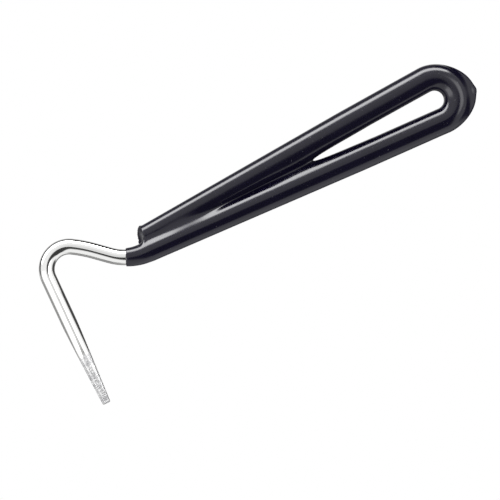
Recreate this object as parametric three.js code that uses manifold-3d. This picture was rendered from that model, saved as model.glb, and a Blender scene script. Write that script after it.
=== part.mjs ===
// A hoof pick: one bent steel rod, with a dipped vinyl coat over its loop handle.
//
// Units are millimetres. The tool lies flat, with the plane of its bends parallel to XY.
// +X runs along the handle from the hook to the loop end, the chisel tip points to -Y,
// and +Z is up. The origin is the middle of the bottom of the whole tool's box.

import * as THREE from "three";
import { mergeVertices } from "three/addons/utils/BufferGeometryUtils.js";
import Module from "manifold-3d";

const { clamp, lerp } = THREE.MathUtils;
const wasm = await Module();
wasm.setup();

// ---- Driving dimensions -------------------------------------------------------------

const ROD_RADIUS = 3.175;            // quarter-inch round bar
const MANDREL = 9;                   // radius of the rod's axis in the hook and in the loop
const LOWER_SLOPE = radians(2.55);   // the lower limb of the handle to the handle's own axis
const UPPER_SLOPE = radians(2.63);   // the upper limb, whose tail is pressed a little closer

// The bends, in the order in which the rod runs from the chisel tip to its tail.
const LEG_LENGTH = 55;
const HOOK_TURN = radians(121);
const NECK_SWEEP_RADIUS = 55;
const NECK_SWEEP_TURN = radians(9.5);
const NECK_LENGTH = 6.6;
const SHOULDER_RADIUS = 21;
const SHOULDER_TURN = radians(39.5);
const LOWER_LIMB_LENGTH = 130.5;
const LOOP_TURN = Math.PI + LOWER_SLOPE + UPPER_SLOPE;
const UPPER_LIMB_LENGTH = 127.2;

// The chisel, flattened in the plane of the bends and ground on both sides.
const BLADE_LENGTH = 34;
const BLADE_THICKNESS = 3;
const GRIND_LENGTH = 23;
const BLADE_WIDTH = 5.4;
const BEVEL_REACH = 2.1;             // from the rod's axis to each bevel, at the tip

// The vinyl coat. It drained towards the loop end, so it is thickest there.
const COAT_OVER_SHOULDER = 8;        // length of shoulder bend that the coat covers
const COAT_AT_RIM = 0.5;
const COAT_AT_SHOULDER = 1.2;
const COAT_AT_LOOP = 2.1;
const COAT_AT_TAIL = 0.9;
const RIM_LENGTH = 10;               // rim to full thickness of the shoulder
const THICKENING_LENGTH = 92;        // thickness of the shoulder or tail to that of the loop
const BORE_CLEARANCE = 0.15;         // keeps the coat a separate body, just clear of the rod
const END_CLEARANCE = 0.3;           // the same, at the end of the rod's tail

// The loop is twisted a little, so the limbs part in height as their coats thin: one
// keeps its top level, and the other keeps its underside level.
const SHANK_RISE = COAT_AT_LOOP - COAT_AT_SHOULDER;
const TAIL_DROP = COAT_AT_LOOP - COAT_AT_TAIL;

// The drip that set at the outside of the loop end.
const DRIP_HEIGHT = 2.6;
const DRIP_SPREAD = radians(40);
const DRIP_ANGLE = radians(-12);     // from the handle's axis, towards the lower limb
const NIB_HEIGHT = 0.5;
const NIB_SPREAD = radians(6);

// The web of vinyl that bridges the two limbs, from the finger loop back to the tail.
const WEB_FRONT = -54.4;             // along the handle from the loop's centre
const WEB_BACK = -129;
const WEB_FRONT_HALF_THICKNESS = 0.5;
const WEB_BACK_HALF_THICKNESS = 3.4;

// The tail's oblique end face: where it meets the upper side of the limb, and its lean.
const TAIL_FACE_X = -129;
const TAIL_FACE_Y = 6.3;
const TAIL_FACE_LEAN = radians(16);

const SIDES = 24;                    // a multiple of four, so that a flat faces +-Z and +-Y
const BEND_STEP = radians(8);
const FLAT_FACTOR = 1 / Math.cos(Math.PI / SIDES);   // corner radius over flat radius
const WEB_CURVE_STEPS = 8;
const CUT_MARGIN = 2;                // how far each cutter runs on past what it cuts
const CUTTER_SIZE = 6 * ROD_RADIUS;  // wider than the rod or the coated tail

function radians(degrees) {
  return degrees * Math.PI / 180;
}

// ---- The axis of the rod ------------------------------------------------------------

// A flat curve made of runs, each straight or a bend of constant radius. A positive turn
// is to the left of the way the rod runs.
class RodAxis {
  constructor(startHeading, runs) {
    this.runs = [];
    this.length = 0;
    let x = 0;
    let y = 0;
    let heading = startHeading;
    for (const { length, turn } of runs) {
      const run = { from: this.length, length, turn, x, y, heading };
      this.runs.push(run);
      this.length += length;
      const end = this.alongRun(run, length);
      x = end.x;
      y = end.y;
      heading = end.heading;
    }
  }

  alongRun(run, distance) {
    const turned = run.turn * distance / run.length;
    const half = turned / 2;
    const chord = half === 0 ? distance : distance * Math.sin(half) / half;
    return {
      x: run.x + chord * Math.cos(run.heading + half),
      y: run.y + chord * Math.sin(run.heading + half),
      heading: run.heading + turned,
    };
  }

  // The place and heading at a distance along the rod. Past an end it runs on straight.
  at(distance) {
    const run = this.runs.findLast((one) => distance >= one.from) ?? this.runs[0];
    const inside = clamp(distance - run.from, 0, run.length);
    const place = this.alongRun(run, inside);
    const beyond = distance - run.from - inside;
    place.x += beyond * Math.cos(place.heading);
    place.y += beyond * Math.sin(place.heading);
    return place;
  }

  moveBy(x, y) {
    for (const run of this.runs) {
      run.x += x;
      run.y += y;
    }
  }

  // Distances between two places on the rod at which a tube needs a ring of vertices.
  stations(from, to) {
    const found = [];
    for (const run of this.runs) {
      const steps = Math.max(1, Math.ceil(Math.abs(run.turn) / BEND_STEP));
      for (let i = 0; i < steps; i++) {
        found.push(run.from + run.length * i / steps);
      }
    }
    const inside = found.filter((place) => place > from && place < to);
    return [from, ...inside, to];
  }
}

const straight = (length) => ({ length, turn: 0 });
const bend = (radius, turn) => ({ length: radius * Math.abs(turn), turn });

const LEG_HEADING = HOOK_TURN + NECK_SWEEP_TURN - SHOULDER_TURN - LOWER_SLOPE;

const axis = new RodAxis(LEG_HEADING, [
  straight(LEG_LENGTH),
  bend(MANDREL, -HOOK_TURN),
  bend(NECK_SWEEP_RADIUS, -NECK_SWEEP_TURN),
  straight(NECK_LENGTH),
  bend(SHOULDER_RADIUS, SHOULDER_TURN),
  straight(LOWER_LIMB_LENGTH),
  bend(MANDREL, LOOP_TURN),
  straight(UPPER_LIMB_LENGTH),
]);

const [LOWER_LIMB_RUN, LOOP_RUN] = axis.runs.slice(5, 7);

// Until the end of the file the loop's centre is the origin.
axis.moveBy(
  -LOOP_RUN.x - MANDREL * Math.sin(LOWER_SLOPE),
  -LOOP_RUN.y - MANDREL * Math.cos(LOWER_SLOPE),
);

const LOOP_MIDDLE = LOOP_RUN.from + LOOP_RUN.length / 2;
const COAT_RIM = LOWER_LIMB_RUN.from - COAT_OVER_SHOULDER;

// Where the coat on each limb starts to thin, and the limb to rise or drop.
const LOWER_BREAK = COAT_RIM + RIM_LENGTH + THICKENING_LENGTH;
const UPPER_BREAK = 2 * LOOP_MIDDLE - LOWER_BREAK;
const BREAKS = [LOWER_BREAK, UPPER_BREAK];

// Height of the rod's axis over the loop's, at a distance along the rod.
function riseAt(distance) {
  const beyond = Math.max(LOWER_BREAK - distance, distance - UPPER_BREAK);
  const share = clamp(beyond / THICKENING_LENGTH, 0, 1);
  return share * (distance < LOOP_MIDDLE ? SHANK_RISE : -TAIL_DROP);
}

// ---- Solids -------------------------------------------------------------------------

function toSolid(geometry) {
  const plain = geometry.clone();
  plain.deleteAttribute("normal");
  plain.deleteAttribute("uv");
  const merged = mergeVertices(plain);
  return new wasm.Manifold(new wasm.Mesh({
    numProp: 3,
    vertProperties: new Float32Array(merged.attributes.position.array),
    triVerts: new Uint32Array(merged.index.array),
  }));
}

function toGeometry(solid) {
  const { vertProperties, triVerts } = solid.getMesh();
  const geometry = new THREE.BufferGeometry();
  geometry.setAttribute("position", new THREE.BufferAttribute(vertProperties, 3));
  geometry.setIndex(new THREE.BufferAttribute(triVerts, 1));
  geometry.computeVertexNormals();
  return geometry;
}

// A straight bar along Y from one distance to another, with flats at the given radius.
function straightBar(from, to, flatRadiusAt, extraStations = []) {
  const stations = [...axis.stations(from, to), ...extraStations].sort((a, b) => a - b);
  const profile = [
    new THREE.Vector2(0, from),
    ...stations.map((place) => new THREE.Vector2(flatRadiusAt(place) * FLAT_FACTOR, place)),
    new THREE.Vector2(0, to),
  ];
  return new THREE.LatheGeometry(profile, SIDES, Math.PI / SIDES);
}

// Bends a straight bar along Y onto the rod's axis. Its +X side becomes the right-hand
// side of the way the rod runs, which is the outside of the loop. sideStretch widens
// that outside.
function bendOntoAxis(geometry, sideStretch = () => 1) {
  const position = geometry.attributes.position;
  for (let i = 0; i < position.count; i++) {
    const distance = position.getY(i);
    const place = axis.at(distance);
    const outside = position.getX(i);
    const side = outside > 0 ? outside * sideStretch(distance) : outside;
    position.setXYZ(
      i,
      place.x + side * Math.sin(place.heading),
      place.y - side * Math.cos(place.heading),
      position.getZ(i) + riseAt(distance),
    );
  }
  return geometry;
}

// ---- The rod ------------------------------------------------------------------------

// A wedge that cuts one flat on the straight bar's tip. The flat is tipReach from the
// axis at the tip, runs out at the bar's skin after its length, and faces +X before it
// is turned about the bar.
function flatCutter(tipReach, length, turn) {
  const slope = (ROD_RADIUS * FLAT_FACTOR - tipReach) / length;
  const farEnd = length + CUT_MARGIN;
  const outline = new THREE.Shape([
    new THREE.Vector2(tipReach - slope * CUT_MARGIN, -CUT_MARGIN),
    new THREE.Vector2(CUTTER_SIZE / 2, -CUT_MARGIN),
    new THREE.Vector2(CUTTER_SIZE / 2, farEnd),
    new THREE.Vector2(tipReach + slope * farEnd, farEnd),
  ]);
  const cutter = new THREE.ExtrudeGeometry(outline, {
    depth: CUTTER_SIZE,
    bevelEnabled: false,
  });
  cutter.translate(0, 0, -CUTTER_SIZE / 2);
  cutter.rotateY(turn);
  return toSolid(cutter);
}

function makeSteelRod() {
  let bar = toSolid(straightBar(0, axis.length, () => ROD_RADIUS, BREAKS));
  const quarter = Math.PI / 2;
  const cuts = [
    [BLADE_THICKNESS / 2, BLADE_LENGTH, 0],
    [BLADE_THICKNESS / 2, BLADE_LENGTH, 2 * quarter],
    [BLADE_WIDTH / 2, GRIND_LENGTH, quarter],
    [BLADE_WIDTH / 2, GRIND_LENGTH, -quarter],
    [BEVEL_REACH, GRIND_LENGTH, 1.5 * quarter],
    [BEVEL_REACH, GRIND_LENGTH, -1.5 * quarter],
  ];
  for (const [tipReach, length, turn] of cuts) {
    bar = bar.subtract(flatCutter(tipReach, length, turn));
  }
  return bendOntoAxis(toGeometry(bar));
}

// ---- The vinyl coat -----------------------------------------------------------------

// The thickness of vinyl at a distance along the rod. It thickens alike along both limbs.
function coatThickness(distance) {
  const fromRim = LOOP_MIDDLE - Math.abs(distance - LOOP_MIDDLE) - COAT_RIM;
  const onLowerLimb = distance < LOOP_MIDDLE;
  if (onLowerLimb && fromRim < RIM_LENGTH) {
    return lerp(COAT_AT_RIM, COAT_AT_SHOULDER, fromRim / RIM_LENGTH);
  }
  const thickening = clamp((fromRim - RIM_LENGTH) / THICKENING_LENGTH, 0, 1);
  return lerp(onLowerLimb ? COAT_AT_SHOULDER : COAT_AT_TAIL, COAT_AT_LOOP, thickening);
}

const coatRadius = (distance) => ROD_RADIUS + coatThickness(distance);

// How much the drip widens the outside of the loop end.
function dripStretch(distance) {
  const angle = (distance - LOOP_MIDDLE) / MANDREL - DRIP_ANGLE;
  const drip = DRIP_HEIGHT * Math.exp(-((angle / DRIP_SPREAD) ** 2));
  const nib = NIB_HEIGHT * Math.exp(-((angle / NIB_SPREAD) ** 2));
  return 1 + (drip + nib) / coatRadius(distance);
}

// Each tube is made in two halves that meet at the middle of the loop, because the coat
// on one limb runs into the coat on the other.
function makeHalves(from, to, flatRadiusAt, sideStretch) {
  return [[from, LOOP_MIDDLE], [LOOP_MIDDLE, to]].map(([start, end]) => {
    const breaks = [COAT_RIM + RIM_LENGTH, ...BREAKS];
    const extra = breaks.filter((place) => place > start && place < end);
    const bar = straightBar(start, end, flatRadiusAt, extra);
    return toSolid(bendOntoAxis(bar, sideStretch));
  });
}

// How far each limb's axis lies from the handle's axis, on its own side.
const limbOffset = (x, slope) => MANDREL / Math.cos(slope) + x * Math.tan(slope);

// The web's plan fills the space between the limbs' axes, with a hollow front edge. Its
// thickness grows evenly from front to back, and it slopes with the limbs' heights.
function makeWeb() {
  const halfGap = limbOffset(WEB_FRONT, LOWER_SLOPE) - coatRadius(LOOP_RUN.from + WEB_FRONT);
  const hornX = WEB_FRONT + 2 * halfGap;       // the horns end inside the limbs' coats
  const hornY = 1.2 * halfGap;
  const outline = new THREE.Shape();
  outline.moveTo(WEB_BACK, -limbOffset(WEB_BACK, LOWER_SLOPE));
  outline.lineTo(hornX, -limbOffset(hornX, LOWER_SLOPE));
  outline.lineTo(hornX, -hornY);
  outline.quadraticCurveTo(WEB_FRONT - hornY, 0, hornX, hornY);
  outline.lineTo(hornX, limbOffset(hornX, UPPER_SLOPE));
  outline.lineTo(WEB_BACK, limbOffset(WEB_BACK, UPPER_SLOPE));
  const web = new THREE.ExtrudeGeometry(outline, {
    depth: 2,
    bevelEnabled: false,
    curveSegments: WEB_CURVE_STEPS,
  });
  web.translate(0, 0, -1);
  const position = web.attributes.position;
  for (let i = 0; i < position.count; i++) {
    const x = position.getX(i);
    const back = clamp((x - WEB_FRONT) / (WEB_BACK - WEB_FRONT), 0, 1);
    const lowerY = -limbOffset(x, LOWER_SLOPE);
    const across = (position.getY(i) - lowerY) / (limbOffset(x, UPPER_SLOPE) - lowerY);
    const halfThickness = lerp(WEB_FRONT_HALF_THICKNESS, WEB_BACK_HALF_THICKNESS, back);
    const rise = back * lerp(SHANK_RISE, -TAIL_DROP, across);
    position.setZ(i, position.getZ(i) * halfThickness + rise);
  }
  return toSolid(web);
}

// Everything beyond the tail's oblique end face, on the upper limb only.
function makeTailCutter() {
  const cutter = new THREE.BoxGeometry(CUTTER_SIZE, CUTTER_SIZE, CUTTER_SIZE);
  cutter.translate(-CUTTER_SIZE / 2, 0, 0);
  cutter.rotateZ(-TAIL_FACE_LEAN);
  cutter.translate(TAIL_FACE_X, TAIL_FACE_Y, 0);
  return toSolid(cutter);
}

function makeVinylGrip() {
  const [lower, upper] = makeHalves(
    COAT_RIM,
    axis.length + 2 * CUT_MARGIN,
    coatRadius,
    dripStretch,
  );
  const bores = makeHalves(
    COAT_RIM - CUT_MARGIN,
    axis.length + END_CLEARANCE,
    () => ROD_RADIUS + BORE_CLEARANCE,
  );
  let grip = upper.subtract(makeTailCutter()).add(lower).add(makeWeb());
  for (const bore of bores) {
    grip = grip.subtract(bore);
  }
  return toGeometry(grip);
}

// ---- The tool -----------------------------------------------------------------------

const plated = new THREE.MeshStandardMaterial({
  color: 0xd4d4d0,
  roughness: 0.16,
  metalness: 1,
});

const vinyl = new THREE.MeshStandardMaterial({
  color: 0x0b0b14,
  roughness: 0.24,
  metalness: 0,
});

function makePiece(name, geometry, material) {
  const mesh = new THREE.Mesh(geometry, material);
  mesh.name = name;
  return mesh;
}

const hoofPick = new THREE.Group();
hoofPick.add(makePiece("steel_rod", makeSteelRod(), plated));
hoofPick.add(makePiece("vinyl_grip", makeVinylGrip(), vinyl));

const box = new THREE.Box3().setFromObject(hoofPick);
const middle = box.getCenter(new THREE.Vector3());
hoofPick.position.set(-middle.x, -middle.y, -box.min.z);

export default hoofPick;
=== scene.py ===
"""A hoof pick: one bent, bright-plated steel rod under a dipped vinyl grip.

The steel rod is swept along its axis, with its ground chisel tip. The grip is the skin of a
distance field: two coated limbs, the web that bridges them, the tail's oblique face and the
drip at the loop end. Both are made in millimetres, with the loop's centre at 0, 0 and the
chisel tip towards -Y, and are then put in metres into the frame of the CAD model.
"""
import math
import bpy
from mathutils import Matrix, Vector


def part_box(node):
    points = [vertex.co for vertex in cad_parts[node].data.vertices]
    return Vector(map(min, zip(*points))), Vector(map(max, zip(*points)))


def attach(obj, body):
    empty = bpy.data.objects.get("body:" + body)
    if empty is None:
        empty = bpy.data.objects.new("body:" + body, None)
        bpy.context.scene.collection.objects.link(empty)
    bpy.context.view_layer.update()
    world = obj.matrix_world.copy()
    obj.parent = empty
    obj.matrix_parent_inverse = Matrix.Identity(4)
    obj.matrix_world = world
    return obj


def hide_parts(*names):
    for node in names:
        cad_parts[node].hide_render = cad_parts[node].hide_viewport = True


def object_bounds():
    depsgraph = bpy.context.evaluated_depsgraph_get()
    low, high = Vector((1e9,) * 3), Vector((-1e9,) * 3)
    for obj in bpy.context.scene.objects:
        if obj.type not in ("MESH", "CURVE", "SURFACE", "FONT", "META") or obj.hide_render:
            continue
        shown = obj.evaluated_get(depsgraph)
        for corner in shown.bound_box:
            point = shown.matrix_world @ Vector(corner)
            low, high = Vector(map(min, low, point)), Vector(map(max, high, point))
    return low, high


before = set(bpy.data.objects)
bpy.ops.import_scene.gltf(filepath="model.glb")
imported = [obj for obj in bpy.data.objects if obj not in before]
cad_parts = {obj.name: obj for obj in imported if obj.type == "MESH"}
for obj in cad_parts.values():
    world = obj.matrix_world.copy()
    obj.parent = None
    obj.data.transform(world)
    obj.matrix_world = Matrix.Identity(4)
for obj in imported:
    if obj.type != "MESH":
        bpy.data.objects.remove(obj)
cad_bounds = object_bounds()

from types import SimpleNamespace

import bpy
import numpy as np
import openvdb
from mathutils import Matrix, Vector

MM = 0.001
rad = math.radians

# ---- Driving dimensions, the same as the CAD model's --------------------------------
ROD_RADIUS = 3.175              # quarter-inch round bar
MANDREL = 9.0                   # radius of the rod's axis in the hook and in the loop
LOWER_SLOPE = rad(2.55)         # the lower limb of the handle to the handle's own axis
UPPER_SLOPE = rad(2.63)

# The bends, in the order in which the rod runs from the chisel tip to its tail.
LEG_LENGTH = 55.0
HOOK_TURN = rad(121)
NECK_SWEEP_RADIUS = 55.0
NECK_SWEEP_TURN = rad(9.5)
NECK_LENGTH = 6.6
SHOULDER_RADIUS = 21.0
SHOULDER_TURN = rad(39.5)
LOWER_LIMB_LENGTH = 130.5
LOOP_TURN = math.pi + LOWER_SLOPE + UPPER_SLOPE
UPPER_LIMB_LENGTH = 127.2

# The chisel, flattened in the plane of the bends and ground on both sides.
BLADE_LENGTH = 34.0
BLADE_THICKNESS = 3.0
GRIND_LENGTH = 23.0
BLADE_WIDTH = 5.4
BEVEL_REACH = 2.1               # from the rod's axis to each bevel, at the tip

# The vinyl coat. It drained towards the loop end, so it is thickest there.
COAT_OVER_SHOULDER = 8.0        # length of shoulder bend that the coat covers
COAT_AT_RIM = 0.5
COAT_AT_SHOULDER = 1.2
COAT_AT_LOOP = 2.1
COAT_AT_TAIL = 0.9
RIM_LENGTH = 10.0               # rim to full thickness of the shoulder
THICKENING_LENGTH = 92.0        # thickness of the shoulder or tail to that of the loop

# The loop is twisted a little, so the limbs part in height as their coats thin.
SHANK_RISE = COAT_AT_LOOP - COAT_AT_SHOULDER
TAIL_DROP = COAT_AT_LOOP - COAT_AT_TAIL

# The drip that set at the outside of the loop end, with a nib on it.
DRIP_HEIGHT = 2.6
DRIP_SPREAD = rad(40)
DRIP_ANGLE = rad(-12)           # from the handle's axis, towards the lower limb
NIB_HEIGHT = 0.5
NIB_SPREAD = rad(6)

# The tail's oblique end face: a point that it goes through, and its lean.
TAIL_FACE_X = -129.0
TAIL_FACE_Y = 6.3
TAIL_FACE_LEAN = rad(16)

# ---- Detail that only this model has ------------------------------------------------
ROD_SIDES = 128
ROD_BEND_STEP = rad(2.5)
TIP_ROUNDING = 0.45
TIP_RING_ANGLES = (0, 20, 40, 60, 80)    # degrees round the tip's rounded edge
RIPPLE_RING_STEP = 0.25
RUN_OUT_RING_STEP = 0.75
LEAST_RING_STEP = 0.05

FLAT_EDGE_ROUNDING = 0.12       # width over which two flats of the chisel meet
LEAST_FACING = 0.2              # a flat has no effect where the rod faces it less than this
NO_FLAT = 99.0                  # and its reach counts as this there
RIPPLE_HEIGHT = 0.04            # of the waves that grinding left
RIPPLE_PACE = 4.1               # radians of a wave to a millimetre
RIPPLE_UNEVENNESS = 2.0         # radians that a wave strays from that
UNEVENNESS_PACE = 1.7
RIPPLE_END = 4.0                # the waves stop this far short of the ground zone's end
RIPPLE_FADE = 6.0
BRIGHT_EDGE_BACK = 1.2          # the plating starts this far inside the ground zone's end,
BRIGHT_EDGE_SLANT = 1.4         # on average, and by this much more or less to the sides

SKIRT_FLATNESS = 0.5            # the drip's height up and down, as a share of the coat's
SKIRT_BLEND = 1.6               # width over which the drip runs into the coat
SKIRT_BLEND_REACH = 4.0         # that width is reached this far from the rod's axis

TAIL_FACE_TILT = rad(18)        # the face looks a little upwards
TAIL_HOLLOW = 0.9
TAIL_EDGE_ROUNDING = 0.5
TAIL_LIP = 0.25
TAIL_LIP_SPREAD = 0.9
TAIL_COAT_PAST_ROD = 6.0        # the coat runs on to here, before the face cuts it off
RIM_ROUNDING = 0.35

# The coat's inner side round the loop: how round it is, and each stretch where it gets
# fuller, as (change, from, to) along the rod from the loop's middle.
ROUND = 2.0
INNER_FULLNESS = [(0.35, -14.0, -4.0), (0.25, 6.0, 16.0)]

# The web between the limbs: the width over which their coats run together near the
# loop, and each stretch where that changes, as (change, from x, to x).
WEB_WIDTH = 5.9
WEB_WIDTH_CHANGES = [(-3.7, -55.0, -89.0), (1.25, -92.0, -106.0), (-1.35, -108.0, -127.0)]
WEB_START = -8.0
WEB_GROWTH_LENGTH = 22.0
NO_WIDTH = 1e-3                 # stands for a sharp corner, where a width can't be 0

BORE_GAP = 0.03                 # between the coat and the rod
BORE_SIDES = 64
BORE_BEND_STEP = rad(5)
BORE_BEFORE_RIM = 3.0
BORE_PAST_TAIL = 0.1

# The grid that the grip's skin is made on, and how the skin is drawn onto the field.
VOXEL = 0.42
GRID_LOW = (-146.0, -18.0, -7.5)
GRID_HIGH = (21.0, 18.0, 7.5)
FIELD_REACH = 3.0
SKIN_PASSES = 4
SKIN_MOST_STEP = 0.3
SKIN_LEAST_SLOPE = 0.05         # squared
SKIN_TOLERANCE = 0.02


# ---- Small helpers ------------------------------------------------------------------
def smooth_min(a, b, width):
    """The smaller of two lengths, with the corner between them rounded over a width."""
    h = np.maximum(width - np.abs(a - b), 0) / width
    return np.minimum(a, b) - h * h * width / 4


def smooth_max(a, b, width):
    return -smooth_min(-a, -b, width)


def smooth_step(value, low, high):
    """Goes smoothly from 0 to 1 as a value goes from low to high."""
    share = np.clip((value - low) / (high - low), 0, 1)
    return share * share * (3 - 2 * share)


def with_changes(start, changes, place):
    """A value that begins at start and changes smoothly over each of some stretches."""
    value = start
    for change, begin, end in changes:
        value = value + change * smooth_step(place, begin, end)
    return value


# ---- The axis of the rod ------------------------------------------------------------
class Run:
    """One straight or evenly bent stretch of the rod. A positive turn is to the left."""

    def __init__(self, start, x, y, heading, length, turn):
        self.start = start
        self.x = x
        self.y = y
        self.heading = heading
        self.length = length
        self.turn = turn

    def place(self, distance):
        """The point and heading at a distance along this run."""
        half = self.turn * distance / self.length / 2
        chord = distance * (math.sin(half) / half if half else 1.0)
        x = self.x + chord * math.cos(self.heading + half)
        y = self.y + chord * math.sin(self.heading + half)
        return x, y, self.heading + 2 * half

    def nearest(self, x, y):
        """Distance along this run, right-hand offset and total offset in the plane."""
        dx = x - self.x
        dy = y - self.y
        along = dx * math.cos(self.heading) + dy * math.sin(self.heading)
        right = dx * math.sin(self.heading) - dy * math.cos(self.heading)
        if not self.turn:
            beyond = along - np.clip(along, 0, self.length)
            return along - beyond, right, np.hypot(beyond, right)
        sign = math.copysign(1.0, self.turn)
        radius = self.length / abs(self.turn)
        # Seen from the bend's centre, the run starts at angle 0 and turns forward.
        outward = radius + sign * right
        angle = np.arctan2(along, outward)
        angle = np.where(angle < -math.pi / 2, angle + 2 * math.pi, angle)
        inside = np.clip(angle, 0, abs(self.turn))
        ring = np.hypot(along, outward)
        off_along = along - radius * np.sin(inside)
        off_outward = outward - radius * np.cos(inside)
        return inside * radius, sign * (ring - radius), np.hypot(off_along, off_outward)


def straight(length):
    """Length and turn of a straight run."""
    return length, 0.0


def bend(radius, turn):
    """Length and turn of a bend."""
    return radius * abs(turn), turn


def make_runs():
    """The rod's runs from the chisel tip to its tail, with the loop's centre at 0, 0."""
    parts = [
        straight(LEG_LENGTH),
        bend(MANDREL, -HOOK_TURN),
        bend(NECK_SWEEP_RADIUS, -NECK_SWEEP_TURN),
        straight(NECK_LENGTH),
        bend(SHOULDER_RADIUS, SHOULDER_TURN),
        straight(LOWER_LIMB_LENGTH),
        bend(MANDREL, LOOP_TURN),
        straight(UPPER_LIMB_LENGTH),
    ]
    start = 0.0
    x = 0.0
    y = 0.0
    heading = HOOK_TURN + NECK_SWEEP_TURN - SHOULDER_TURN - LOWER_SLOPE
    runs = []
    for length, turn in parts:
        run = Run(start, x, y, heading, length, turn)
        runs.append(run)
        start += length
        x, y, heading = run.place(length)
    loop = runs[-2]
    shift_x = -loop.x - MANDREL * math.sin(LOWER_SLOPE)
    shift_y = -loop.y - MANDREL * math.cos(LOWER_SLOPE)
    for run in runs:
        run.x += shift_x
        run.y += shift_y
    return runs


RUNS = make_runs()
SHOULDER, LOWER_LIMB, LOOP, UPPER_LIMB = RUNS[-4:]
ROD_LENGTH = UPPER_LIMB.start + UPPER_LIMB.length
LOOP_MIDDLE = LOOP.start + LOOP.length / 2
COAT_RIM = LOWER_LIMB.start - COAT_OVER_SHOULDER

# Where the coat of each limb has reached the thickness that it has round the loop.
LOWER_BREAK = COAT_RIM + RIM_LENGTH + THICKENING_LENGTH
UPPER_BREAK = 2 * LOOP_MIDDLE - LOWER_BREAK

COATED_TAIL = Run(UPPER_LIMB.start, UPPER_LIMB.x, UPPER_LIMB.y, UPPER_LIMB.heading,
                  UPPER_LIMB.length + TAIL_COAT_PAST_ROD, 0.0)


def place_on_rod(distance):
    """The point and heading at a distance along the whole rod."""
    run = next(r for r in reversed(RUNS) if distance >= r.start or r is RUNS[0])
    return run.place(distance - run.start)


def past_rim(distance):
    """How far a place is from the coat's rim, or its match on the upper limb from its end."""
    return LOOP_MIDDLE - np.abs(distance - LOOP_MIDDLE) - COAT_RIM


def limb_share(distance):
    """How far along its thinning coat a place is, from 0 at the loop to 1 at either end."""
    return 1 - np.clip((past_rim(distance) - RIM_LENGTH) / THICKENING_LENGTH, 0, 1)


def rise(distance):
    """Height of the rod's axis over the loop's, because the loop is twisted a little."""
    lower = distance < LOOP_MIDDLE
    return limb_share(distance) * np.where(lower, SHANK_RISE, -TAIL_DROP)


def bend_stations(step):
    """Distances along the rod: both ends of each straight run, and steps round each bend."""
    found = []
    for run in RUNS:
        count = max(1, math.ceil(abs(run.turn) / step))
        found += [run.start + run.length * i / count for i in range(count)]
    return found + [LOWER_BREAK, UPPER_BREAK]


# ---- Meshes -------------------------------------------------------------------------
def build_mesh(name, vertices, faces):
    """A new object in the scene, with a mesh of these vertices and faces."""
    mesh = bpy.data.meshes.new(name)
    mesh.from_pydata([tuple(v) for v in vertices], [], faces)
    mesh.validate()
    piece = bpy.data.objects.new(name, mesh)
    bpy.context.scene.collection.objects.link(piece)
    return piece


def read(items, name, width=1, kind=float):
    """One property of every vertex, face or corner of a mesh, as an array."""
    values = np.empty(len(items) * width, dtype=kind)
    items.foreach_get(name, values)
    return values.reshape(-1, width) if width > 1 else values


def ring_angles(sides):
    """Angles round the rod, from 0 on its right-hand side."""
    return np.arange(sides) * 2 * math.pi / sides


def sweep(stations, sides, radius_at):
    """A closed tube round the rod's axis; radius_at gives the radii of one ring."""
    angles = ring_angles(sides)
    rings = []
    for distance in stations:
        x, y, heading = place_on_rod(distance)
        radius = radius_at(distance, angles)
        side = radius * np.cos(angles)
        up = radius * np.sin(angles) + rise(distance)
        ring_x = x + side * math.sin(heading)
        ring_y = y - side * math.cos(heading)
        rings.append(np.stack([ring_x, ring_y, up], axis=1))
    count = len(stations)
    faces = []
    for i in range(count - 1):
        ring = i * sides
        ahead = ring + sides
        for j in range(sides):
            k = (j + 1) % sides
            faces.append((ring + j, ahead + j, ahead + k, ring + k))
    faces.append(tuple(range(sides)))
    faces.append(tuple(reversed(range((count - 1) * sides, count * sides))))
    return np.concatenate(rings), faces


# ---- The steel rod ------------------------------------------------------------------
def chisel_faces():
    """Each flat of the chisel: its direction round the rod, reach at the tip, length."""
    quarter = math.pi / 2
    return [
        (0, BLADE_THICKNESS / 2, BLADE_LENGTH),
        (2 * quarter, BLADE_THICKNESS / 2, BLADE_LENGTH),
        (quarter, BLADE_WIDTH / 2, GRIND_LENGTH),
        (-quarter, BLADE_WIDTH / 2, GRIND_LENGTH),
        (1.5 * quarter, BEVEL_REACH, GRIND_LENGTH),
        (-1.5 * quarter, BEVEL_REACH, GRIND_LENGTH),
    ]


def grinding_ripple(distance, direction):
    """Height of the uneven waves that grinding left on one of the chisel's flats."""
    stray = RIPPLE_UNEVENNESS * np.sin(distance * UNEVENNESS_PACE)
    wave = RIPPLE_HEIGHT * np.sin(distance * RIPPLE_PACE + stray + 3 * direction)
    return wave * np.clip((GRIND_LENGTH - RIPPLE_END - distance) / RIPPLE_FADE, 0, 1)


def rod_radius(distance, angles):
    """Radius at each angle round the rod, at a distance from the chisel tip."""
    radius = np.full_like(angles, ROD_RADIUS)
    for direction, tip_reach, length in chisel_faces():
        reach = tip_reach + (ROD_RADIUS - tip_reach) * distance / length
        facing = np.cos(angles - direction)
        flat = np.where(facing > LEAST_FACING, reach / np.maximum(facing, LEAST_FACING), NO_FLAT)
        if length == GRIND_LENGTH:
            flat = flat + grinding_ripple(distance, direction)
        radius = smooth_min(radius, flat, FLAT_EDGE_ROUNDING)
    if distance < TIP_ROUNDING:
        from_edge = TIP_ROUNDING - distance
        radius = radius - (TIP_ROUNDING - math.sqrt(TIP_ROUNDING**2 - from_edge**2))
    return radius


def ground_share(distance, angles):
    """Ground metal or plating at each angle round the rod, as 1 or 0 with a soft edge."""
    bright_edge = GRIND_LENGTH - BRIGHT_EDGE_BACK + BRIGHT_EDGE_SLANT * np.cos(angles)
    return np.clip(bright_edge - distance, 0, 1)


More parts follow.
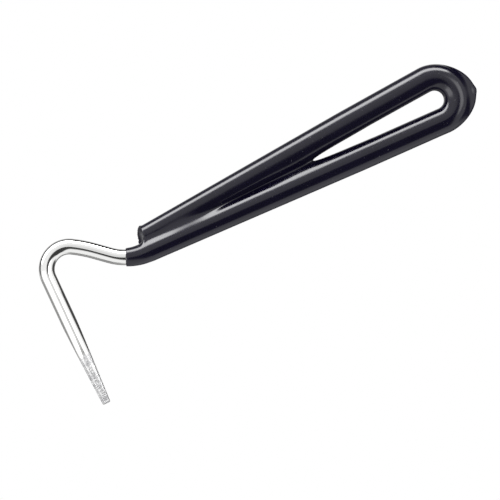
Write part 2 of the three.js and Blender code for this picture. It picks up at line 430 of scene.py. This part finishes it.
def rod_stations():
    """Distances along the rod that get a ring: close together where its shape changes."""
    ripple_start = 0.6
    ripple_end = GRIND_LENGTH + 3
    blade_end = BLADE_LENGTH + 2
    found = [TIP_ROUNDING * (1 - math.cos(rad(a))) for a in TIP_RING_ANGLES]
    found += list(np.arange(ripple_start, ripple_end, RIPPLE_RING_STEP))
    found += list(np.arange(ripple_end, blade_end, RUN_OUT_RING_STEP))
    found += bend_stations(ROD_BEND_STEP) + [ROD_LENGTH]
    found = np.unique(np.round(found, 4))
    return found[np.append(True, np.diff(found) > LEAST_RING_STEP)]


def make_rod():
    """The whole rod, with a mask on its vertices that marks the ground metal."""
    stations = rod_stations()
    vertices, faces = sweep(stations, ROD_SIDES, rod_radius)
    rod = build_mesh("rod_steel", vertices, faces)
    angles = ring_angles(ROD_SIDES)
    ground = np.concatenate([ground_share(distance, angles) for distance in stations])
    mask = rod.data.attributes.new("ground", "FLOAT", "POINT")
    mask.data.foreach_set("value", ground.astype(np.float32))
    rod.data.shade_smooth()
    return rod


# ---- The vinyl grip as a field ------------------------------------------------------
# Each field gives a place's distance outside a shape, which is negative inside it.

def coat_radius(distance):
    """Outside radius of the coat at a distance along the rod."""
    from_rim = past_rim(distance)
    lower = distance < LOOP_MIDDLE
    thin = np.where(lower, COAT_AT_SHOULDER, COAT_AT_TAIL)
    coat = COAT_AT_LOOP - (COAT_AT_LOOP - thin) * limb_share(distance)
    near_rim = np.clip(from_rim / RIM_LENGTH, 0, 1)
    rim = COAT_AT_RIM + (COAT_AT_SHOULDER - COAT_AT_RIM) * near_rim
    return ROD_RADIUS + np.where(lower & (from_rim < RIM_LENGTH), rim, coat)


def drip_height(distance):
    """How far the drip and its nib stand out from the coat, round the outside."""
    angle = (distance - LOOP_MIDDLE) / MANDREL - DRIP_ANGLE
    drip = DRIP_HEIGHT * np.exp(-((angle / DRIP_SPREAD) ** 2))
    return drip + NIB_HEIGHT * np.exp(-((angle / NIB_SPREAD) ** 2))


def tube_field(x, y, z, runs):
    """The coat over some of the runs and past their ends, with the drip outside it."""
    off = np.full(np.broadcast(x, y).shape, np.inf)
    distance = off.copy()
    side = off.copy()
    for run in runs:
        along, right, total = run.nearest(x, y)
        closer = total < off
        off = np.where(closer, total, off)
        distance = np.where(closer, along + run.start, distance)
        side = np.where(closer, np.copysign(total, right), side)
    radius = coat_radius(distance)
    level = z - rise(distance)
    fullness = with_changes(ROUND, INNER_FULLNESS, distance - LOOP_MIDDLE)
    power = np.where(side > 0, ROUND, fullness)
    coat = (np.abs(side) ** power + np.abs(level) ** power) ** (1 / power) - radius
    # The drip is a flat skirt: its section is an ellipse, wider than it is high.
    drip = drip_height(distance)
    skirt_height = SKIRT_FLATNESS * radius
    skirt = skirt_height * (np.hypot(side / (radius + drip), level / skirt_height) - 1)
    drip_share = np.clip(drip / DRIP_HEIGHT, 0, 1)
    blend = SKIRT_BLEND * smooth_step(side, 0.0, SKIRT_BLEND_REACH) * drip_share
    return np.where(side > 0, smooth_min(coat, skirt, NO_WIDTH + blend), coat)


def web_width(x):
    """Width over which the coats of the two limbs run together, at a place along the grip."""
    width = with_changes(WEB_WIDTH, WEB_WIDTH_CHANGES, x)
    grown = np.clip((WEB_START - x) / WEB_GROWTH_LENGTH, 0, 1)
    return np.maximum(width * grown, NO_WIDTH)


def tail_face(x, y, z):
    """Distance beyond the oblique, slightly hollow face that closes the tail's coat."""
    from_face_x = (x - TAIL_FACE_X) * math.cos(TAIL_FACE_LEAN)
    along = from_face_x - (y - TAIL_FACE_Y) * math.sin(TAIL_FACE_LEAN)
    _, tail_y, _ = place_on_rod(ROD_LENGTH)
    tail_radius = ROD_RADIUS + COAT_AT_TAIL
    level = z + TAIL_DROP
    back = level * math.sin(TAIL_FACE_TILT) - along * math.cos(TAIL_FACE_TILT)
    out = np.hypot(y - tail_y, level) / tail_radius
    return back + TAIL_HOLLOW * np.clip(1 - out**2, 0, 1)


def grip_field(x, y, z):
    """The whole grip, still without its bore."""
    lower = tube_field(x, y, z, [SHOULDER, LOWER_LIMB, LOOP])
    upper = tube_field(x, y, z, [LOOP, COATED_TAIL])
    face = tail_face(x, y, z)
    lip = TAIL_LIP * np.exp(-((face / TAIL_LIP_SPREAD) ** 2))
    upper = smooth_max(upper - lip, face, TAIL_EDGE_ROUNDING)
    body = smooth_min(lower, upper, web_width(x))
    body = np.maximum(body, -(ROD_RADIUS + COAT_AT_LOOP) - z)
    rim_x, rim_y, rim_heading = place_on_rod(COAT_RIM)
    before_rim = -((x - rim_x) * math.cos(rim_heading) + (y - rim_y) * math.sin(rim_heading))
    return smooth_max(body, before_rim, RIM_ROUNDING)


def gradient(points, step=0.02):
    """Slope of the grip's field at each point."""
    found = np.empty_like(points)
    for axis in range(3):
        offset = np.zeros(3)
        offset[axis] = step
        ahead = grip_field(*(points + offset).T)
        behind = grip_field(*(points - offset).T)
        found[:, axis] = (ahead - behind) / (2 * step)
    return found


# ---- The vinyl grip as a mesh -------------------------------------------------------
def make_grip_skin():
    """The skin of the grip's field: made on a grid, then drawn onto the field itself."""
    low = np.array(GRID_LOW)
    shape = np.ceil((np.array(GRID_HIGH) - low) / VOXEL).astype(int)
    x, y, z = (low[i] + VOXEL * np.arange(shape[i]) for i in range(3))
    values = grip_field(x[:, None, None], y[None, :, None], z[None, None, :])
    grid = openvdb.FloatGrid()
    grid.background = FIELD_REACH
    grid.copyFromArray(np.clip(values, -FIELD_REACH, FIELD_REACH).astype(np.float32))
    points, triangles, quads = grid.convertToPolygons(isovalue=0.0)
    points = low + VOXEL * points.astype(float)
    for _ in range(SKIN_PASSES):
        slope = gradient(points)
        slope_squared = np.maximum((slope**2).sum(axis=1), SKIN_LEAST_SLOPE)
        step = grip_field(*points.T) / slope_squared
        points -= np.clip(step, -SKIN_MOST_STEP, SKIN_MOST_STEP)[:, None] * slope
    faces = [tuple(face) for face in triangles.tolist() + quads.tolist()]
    return build_mesh("grip_vinyl", points, faces)


def bore_radius(distance, angles):
    return np.full_like(angles, ROD_RADIUS + BORE_GAP)


def cut_bore(grip):
    """Takes the rod's own bent cylinder out of the grip, so that it is a sleeve."""
    start = COAT_RIM - BORE_BEFORE_RIM
    stations = [s for s in bend_stations(BORE_BEND_STEP) if s >= start]
    stations = sorted(stations + [start, ROD_LENGTH + BORE_PAST_TAIL])
    core = build_mesh("core", *sweep(stations, BORE_SIDES, bore_radius))
    boolean = grip.modifiers.new("bore", "BOOLEAN")
    boolean.operation = "DIFFERENCE"
    boolean.solver = "MANIFOLD"
    boolean.object = core
    bpy.context.view_layer.update()
    with_bore = grip.evaluated_get(bpy.context.evaluated_depsgraph_get())
    hollow = bpy.data.meshes.new_from_object(with_bore)
    hollow.materials.clear()
    grip.modifiers.clear()
    grip.data = hollow
    bpy.data.objects.remove(core)


def smooth_normals(grip):
    """Shades the skin by the field's own slope, and the bore by its flat faces."""
    mesh = grip.data
    points = read(mesh.vertices, "co", width=3)
    slope = gradient(points)
    slope /= np.linalg.norm(slope, axis=1)[:, None]
    on_skin = np.abs(grip_field(*points.T)) < SKIN_TOLERANCE
    corners = read(mesh.loops, "vertex_index", kind=np.int32)
    starts = read(mesh.polygons, "loop_start", kind=np.int32)
    totals = read(mesh.polygons, "loop_total", kind=np.int32)
    flat = np.repeat(read(mesh.polygons, "normal", width=3), totals, axis=0)
    face_on_skin = np.minimum.reduceat(on_skin[corners].astype(int), starts)
    corner_on_skin = np.repeat(face_on_skin, totals).astype(bool)
    # At a sharp edge the slope can point away from a face, which then stays flat.
    agree = (slope[corners] * flat).sum(axis=1) > 0.5
    normals = np.where((corner_on_skin & agree)[:, None], slope[corners], flat)
    mesh.shade_smooth()
    mesh.normals_split_custom_set(normals.tolist())


def make_grip():
    """The whole grip, hollowed for the rod."""
    grip = make_grip_skin()
    cut_bore(grip)
    smooth_normals(grip)
    return grip


# ---- Placing in the CAD frame -------------------------------------------------------
def put_in_frame(pieces, rod):
    """Turns millimetres from the loop's centre into the CAD frame's metres."""
    points = read(rod.data.vertices, "co", width=3)
    middle = (points.min(axis=0) + points.max(axis=0)) / 2
    cad_low, cad_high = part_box("steel_rod")
    shift = (Vector(cad_low) + Vector(cad_high)) / 2 - Vector(middle) * MM
    for piece in pieces:
        piece.data.transform(Matrix.Translation(shift) @ Matrix.Scale(MM, 4))


# ---- Nodes for materials and the world ----------------------------------------------
BUMP_STRENGTH = 0.5


class Nodes:
    """Small helper that adds and links nodes in a material or world."""

    def __init__(self, owner):
        owner.use_nodes = True
        self.tree = owner.node_tree
        self.tree.nodes.clear()

    def add(self, kind, inputs=None, **settings):
        """A new node, with each of its inputs linked to a socket or set to a value."""
        node = self.tree.nodes.new(kind)
        for name, value in settings.items():
            setattr(node, name, value)
        for name, value in (inputs or {}).items():
            if isinstance(value, bpy.types.NodeSocket):
                self.tree.links.new(value, node.inputs[name])
            else:
                node.inputs[name].default_value = value
        return node

    def math(self, operation, a, b=0.0):
        return self.add("ShaderNodeMath", {0: a, 1: b}, operation=operation).outputs[0]

    def product(self, *factors):
        result = factors[0]
        for factor in factors[1:]:
            result = self.math("MULTIPLY", result, factor)
        return result

    def range(self, value, low, high, to_low=0.0, to_high=1.0):
        """Goes smoothly from to_low to to_high as a value goes from low to high."""
        inputs = {"Value": value, "From Min": low, "From Max": high,
                  "To Min": to_low, "To Max": to_high}
        node = self.add("ShaderNodeMapRange", inputs, interpolation_type="SMOOTHSTEP")
        return node.outputs[0]

    def mix(self, share, first, second):
        """Goes from the first number to the second as the share goes from 0 to 1."""
        return self.add("ShaderNodeMix", {0: share, 2: first, 3: second}).outputs[0]

    def mix_colour(self, share, first, second):
        inputs = {0: share, 6: first, 7: second}
        return self.add("ShaderNodeMix", inputs, data_type="RGBA").outputs[2]

    def split(self, vector):
        return self.add("ShaderNodeSeparateXYZ", {0: vector}).outputs

    def noise(self, place, scale, detail):
        """Soft noise from about 0.3 to 0.7; the scale is roughly its spots to a metre."""
        inputs = {"Vector": place, "Scale": scale, "Detail": detail}
        return self.add("ShaderNodeTexNoise", inputs).outputs[0]

    def bump(self, height, depth):
        """Normals that follow a height; the depth is the metres that a height of 1 stands."""
        inputs = {"Height": height, "Distance": depth, "Strength": BUMP_STRENGTH}
        return self.add("ShaderNodeBump", inputs).outputs[0]


# ---- Materials ----------------------------------------------------------------------
# Colours are linear red, green and blue, with an alpha of 1.
PLATING = (0.86, 0.86, 0.85, 1)
PLATING_CLOUD_HEIGHT = 0.12
GROUND_DARK = (0.48, 0.48, 0.49, 1)
GROUND_BRIGHT = (0.70, 0.70, 0.70, 1)
GROUND_SCRATCHES = (180, 850, 180)       # to a metre, so they run across the blade
FINE_GROUND_Y = -0.0125                  # metres: the grinding is fine here, at its end
COARSE_GROUND_Y = -0.0185                # and coarse from here to the tip
FINE_GROUND = 0.3                        # of the height of the coarse scratches
GROUND_DEPTH = 0.00004

VINYL_DARK = (0.003, 0.0022, 0.0105, 1)
VINYL_LIGHT = (0.0038, 0.0028, 0.0125, 1)
VINYL_SPECK = (0.08, 0.08, 0.09, 1)
VINYL_PEEL_HEIGHT = 0.05                 # of the height of the waves
VINYL_DEPTH = 0.0002


def plated_steel():
    """Bright plating, slightly cloudy, that turns into cross-ground bare metal at the tip."""
    material = bpy.data.materials.new("plated_steel")
    nodes = Nodes(material)
    place = nodes.add("ShaderNodeTexCoord").outputs["Object"]
    ground = nodes.add("ShaderNodeAttribute", attribute_name="ground").outputs["Fac"]
    grain = nodes.noise(place, scale=1600, detail=4)
    cloud = nodes.noise(place, scale=220, detail=3)
    scratch_inputs = {"Vector": place, "Scale": GROUND_SCRATCHES}
    scratch_place = nodes.add("ShaderNodeMapping", scratch_inputs).outputs[0]
    strokes = nodes.math("SUBTRACT", nodes.noise(scratch_place, scale=1.0, detail=2), 0.5)
    across = nodes.split(place)[1]
    coarse = nodes.range(across, FINE_GROUND_Y, COARSE_GROUND_Y, to_low=FINE_GROUND)
    scratches = nodes.math("ADD", nodes.product(strokes, coarse), 0.5)

    plating_rough = nodes.range(cloud, 0.3, 0.75, to_low=0.07, to_high=0.13)
    ground_rough = nodes.range(grain, 0.3, 0.7, to_low=0.42, to_high=0.6)
    rough = nodes.mix(ground, plating_rough, ground_rough)
    height = nodes.mix(ground, nodes.product(cloud, PLATING_CLOUD_HEIGHT), scratches)
    worn = nodes.mix_colour(nodes.range(scratches, 0.25, 0.7), GROUND_DARK, GROUND_BRIGHT)
    tint = nodes.mix_colour(ground, PLATING, worn)
    shader = nodes.add("ShaderNodeBsdfPrincipled", {
        "Base Color": tint,
        "Metallic": 1.0,
        "Roughness": rough,
        "Normal": nodes.bump(height, GROUND_DEPTH),
    })
    nodes.add("ShaderNodeOutputMaterial", {"Surface": shader.outputs[0]})
    return material


def dipped_vinyl():
    """Glossy blue-black vinyl with soft waves, fine peel, uneven gloss and a few specks."""
    material = bpy.data.materials.new("dipped_vinyl")
    nodes = Nodes(material)
    place = nodes.add("ShaderNodeTexCoord").outputs["Object"]
    waves = nodes.noise(place, scale=90, detail=1)
    peel = nodes.noise(place, scale=700, detail=2)
    dust = nodes.noise(place, scale=2600, detail=4)
    specks = nodes.range(nodes.noise(place, scale=1500, detail=1), 0.74, 0.8)

    height = nodes.math("ADD", waves, nodes.product(peel, VINYL_PEEL_HEIGHT))
    tint = nodes.mix_colour(nodes.range(waves, 0.35, 0.65), VINYL_DARK, VINYL_LIGHT)
    shader = nodes.add("ShaderNodeBsdfPrincipled", {
        "Base Color": nodes.mix_colour(specks, tint, VINYL_SPECK),
        "Roughness": nodes.range(dust, 0.3, 0.75, to_low=0.15, to_high=0.23),
        "IOR": 1.5,
        "Normal": nodes.bump(height, VINYL_DEPTH),
    })
    nodes.add("ShaderNodeOutputMaterial", {"Surface": shader.outputs[0]})
    return material


# ---- Studio -------------------------------------------------------------------------
WHITE = (1, 1, 1, 1)
FLOOR_HALF_SIZE = 3.0
FLOOR_GAP = 0.0003              # metres, below the tool's underside
LEAST_DIVISOR = 0.02


def make_floor():
    """A white floor that gives its own light, and that reflections don't see."""
    size = FLOOR_HALF_SIZE
    corners = [(-size, -size, 0), (size, -size, 0), (size, size, 0), (-size, size, 0)]
    floor = build_mesh("floor", corners, [(0, 1, 2, 3)])
    floor.location.z = -FLOOR_GAP
    floor.visible_glossy = False
    material = bpy.data.materials.new("floor")
    nodes = Nodes(material)
    shader = nodes.add("ShaderNodeEmission", {"Color": WHITE, "Strength": 1.0})
    nodes.add("ShaderNodeOutputMaterial", {"Surface": shader.outputs[0]})
    floor.data.materials.append(material)


def look_of(nodes):
    """The way that a reflection looks: its direction, and where it meets a flat ceiling."""
    direction = nodes.add("ShaderNodeTexCoord").outputs["Generated"]
    x, y, z = nodes.split(direction)
    up = nodes.math("MAXIMUM", z, LEAST_DIVISOR)
    to_degrees = 180 / math.pi
    return SimpleNamespace(
        x=x,
        y=y,
        z=z,
        level=nodes.product(nodes.math("ARCSINE", z), to_degrees),
        across=nodes.product(nodes.math("ARCTAN2", y, z), to_degrees),
        ceiling_x=nodes.math("DIVIDE", x, up),
        ceiling_y=nodes.math("DIVIDE", y, up),
    )


def table_tone(nodes, look):
    """The table below the horizon, darker downwards, towards the shadow under the tool."""
    shade = nodes.range(look.level, -8, -60, to_high=0.88)
    on_near_side = nodes.range(look.y, 0.0, 0.2, to_low=1.0, to_high=0.25)
    return nodes.math("SUBTRACT", 1.0, nodes.product(shade, on_near_side))


def shadows(nodes, look):
    """The studio's dark areas, each with the share of the light that it takes away."""
    far_side = nodes.product(
        nodes.range(look.y, 0.1, 0.35),
        nodes.range(look.level, 0, -10),
        nodes.range(look.level, -62, -42),
    )
    beyond_loop = nodes.product(
        nodes.range(look.x, 0.3, 0.6),
        nodes.range(look.level, 8, -4),
        nodes.range(look.level, -56, -36),
    )
    beyond_hook = nodes.product(
        nodes.range(look.x, -0.3, -0.6),
        nodes.range(look.level, 2, -8),
        nodes.range(look.level, -36, -24),
    )
    # The photographer leans over the table from the near side, and the camera is overhead.
    above = nodes.range(look.z, 0.0, 0.05)
    person = nodes.product(
        nodes.range(nodes.math("ABSOLUTE", look.ceiling_x), 0.55, 0.3),
        nodes.range(look.ceiling_y, 0.02, -0.07),
        nodes.range(look.ceiling_y, -2.6, -1.7),
        above,
    )
    camera_x = nodes.math("SUBTRACT", look.ceiling_x, 0.15)
    camera_y = nodes.math("SUBTRACT", look.ceiling_y, 0.2)
    squares = [nodes.product(offset, offset) for offset in (camera_x, camera_y)]
    from_camera = nodes.math("SQRT", nodes.math("ADD", *squares))
    camera = nodes.product(nodes.range(from_camera, 0.42, 0.04), above)
    return [
        (far_side, 0.74),
        (beyond_loop, 0.93),
        (beyond_hook, 0.72),
        (person, 0.96),
        (camera, 0.22),
    ]


def lamps(nodes, look):
    """The studio's lights, each with its brightness."""
    loop_box = nodes.product(
        nodes.range(look.ceiling_x, 0.35, 0.6),
        nodes.range(look.ceiling_x, 1.6, 1.2),
        nodes.range(look.ceiling_y, -0.95, -0.55),
        nodes.range(look.ceiling_y, 0.45, 0.15),
    )
    towards_hook = nodes.math("MINIMUM", look.ceiling_x, -LEAST_DIVISOR)
    hook_turn = nodes.math("DIVIDE", look.ceiling_y, towards_hook)
    hook_box = nodes.product(
        nodes.range(look.ceiling_x, -0.28, -0.42),
        nodes.range(look.ceiling_x, -2.8, -1.8),
        nodes.range(nodes.math("ABSOLUTE", hook_turn), 0.42, 0.22),
    )
    boxes = nodes.math("ADD", loop_box, hook_box)
    along = nodes.math("DIVIDE", look.x, nodes.math("MAXIMUM", look.y, LEAST_DIVISOR))
    strip = nodes.product(
        nodes.range(look.across, 56, 68),
        nodes.range(look.across, 94, 84),
        nodes.range(along, 1.5, 1.2),
        nodes.range(along, -1.5, -0.7),
    )
    return [(boxes, 2.4), (strip, 11.0)]


def make_world():
    """A plain white studio, whose lights and shadows show only in glossy reflections.

    There is a soft box high on either side, and a strip light low on the far side.
    """
    world = bpy.data.worlds.new("studio")
    bpy.context.scene.world = world
    nodes = Nodes(world)
    look = look_of(nodes)
    tone = table_tone(nodes, look)
    for area, share in shadows(nodes, look):
        light_left = nodes.math("SUBTRACT", 1.0, nodes.product(area, share))
        tone = nodes.product(tone, light_left)
    for area, brightness in lamps(nodes, look):
        tone = nodes.math("ADD", tone, nodes.product(area, brightness))
    reflected = nodes.add("ShaderNodeLightPath").outputs["Is Glossy Ray"]
    strength = nodes.mix(reflected, 1.0, tone)
    background = nodes.add("ShaderNodeBackground", {"Color": WHITE, "Strength": strength})
    nodes.add("ShaderNodeOutputWorld", {"Surface": background.outputs[0]})


# ---- Camera -------------------------------------------------------------------------
PICTURE_WIDTH = 200.0           # millimetres, at the height of the tool's middle
CAMERA_HEIGHT = 1.4             # metres
HANDLE_SLOPE = (0.8953, 0.4454)          # the handle's direction in the picture
ROLL = math.atan2(-HANDLE_SLOPE[1], HANDLE_SLOPE[0])
AIM_X = -14.5
AIM_Y = -4.1


def make_camera():
    """A camera that looks straight down, turned so that the handle slopes up to the right."""
    data = bpy.data.cameras.new("camera")
    camera = bpy.data.objects.new("camera", data)
    bpy.context.scene.collection.objects.link(camera)
    middle = (cad_bounds[0][2] + cad_bounds[1][2]) / 2
    data.sensor_width = 36.0
    data.lens = data.sensor_width * (CAMERA_HEIGHT - middle) / (PICTURE_WIDTH * MM)
    data.clip_end = 20.0
    camera.location = (AIM_X * MM, AIM_Y * MM, CAMERA_HEIGHT)
    camera.rotation_euler = (0, 0, ROLL)
    bpy.context.scene.camera = camera


# ---- Assembly -----------------------------------------------------------------------
rod = make_rod()
grip = make_grip()
put_in_frame([rod, grip], rod)

rod.data.materials.append(plated_steel())
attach(rod, "root")
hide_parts("steel_rod")

grip.data.materials.append(dipped_vinyl())
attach(grip, "root")
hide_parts("vinyl_grip")

make_floor()
make_world()
make_camera()
bpy.context.scene.view_settings.view_transform = "Standard"
